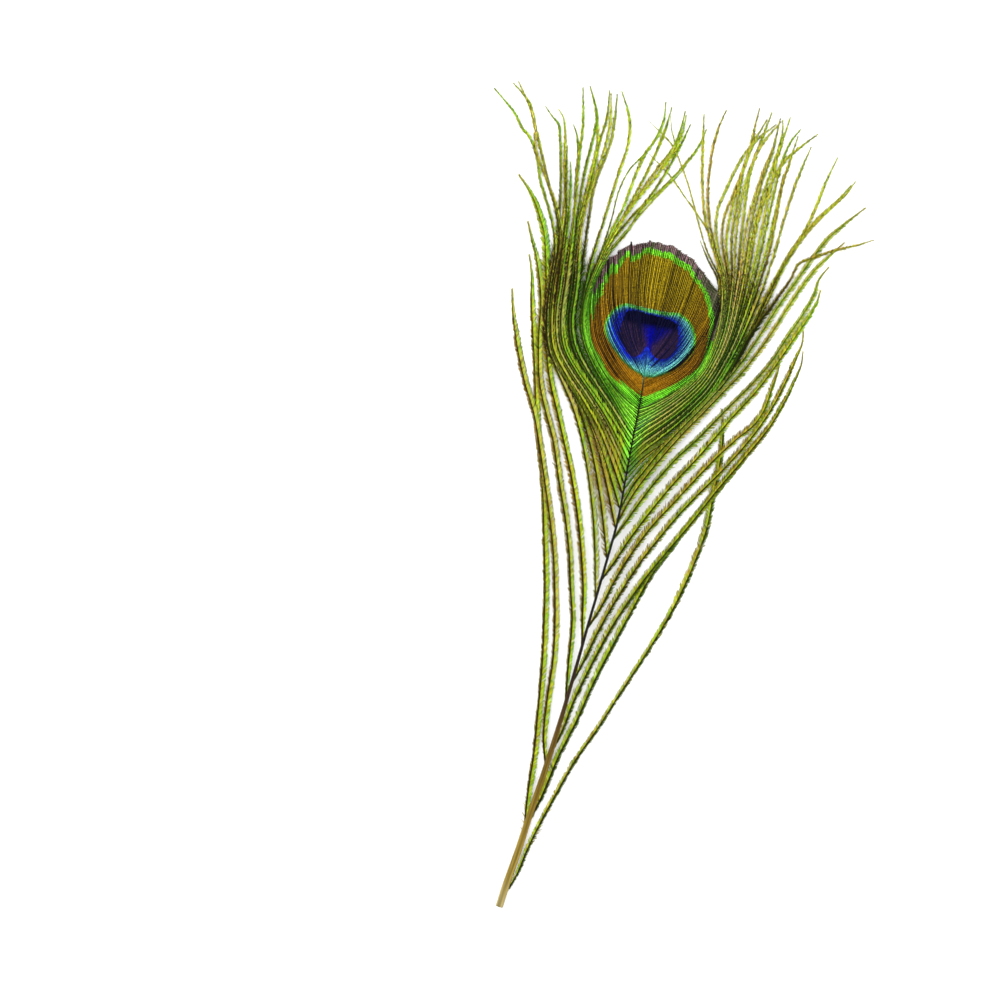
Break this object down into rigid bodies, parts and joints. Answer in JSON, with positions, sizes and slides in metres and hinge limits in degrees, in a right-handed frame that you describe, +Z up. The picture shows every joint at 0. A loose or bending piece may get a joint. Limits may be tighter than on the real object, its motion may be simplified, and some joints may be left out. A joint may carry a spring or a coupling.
{
  "type": "peacock feather",
  "caption": "Peacock tail feather with a round iridescent eye, loose side barbs, fanned plumes and a cut quill, lying face up.",
  "frame": {"origin": "on the flat underside of the quill, 8 mm from its cut end, where the quill lies on the surface", "axes": "+Y along the shaft from the cut quill to the eye, +X to the feather's right seen from above, +Z up through the coloured face"},
  "size_m": [0.1215, 0.2513, 0.0041],
  "materials": {
    "barbs": "keratin barbs with iridescent green, gold and bronze barbules",
    "eye": "close-set iridescent barbs in rings of bronze, turquoise and deep blue",
    "shaft": "smooth tan keratin shaft, darker toward the eye"
  },
  "bodies": {
    "root": {"feather": "barbs"}
  },
  "joints": []
}
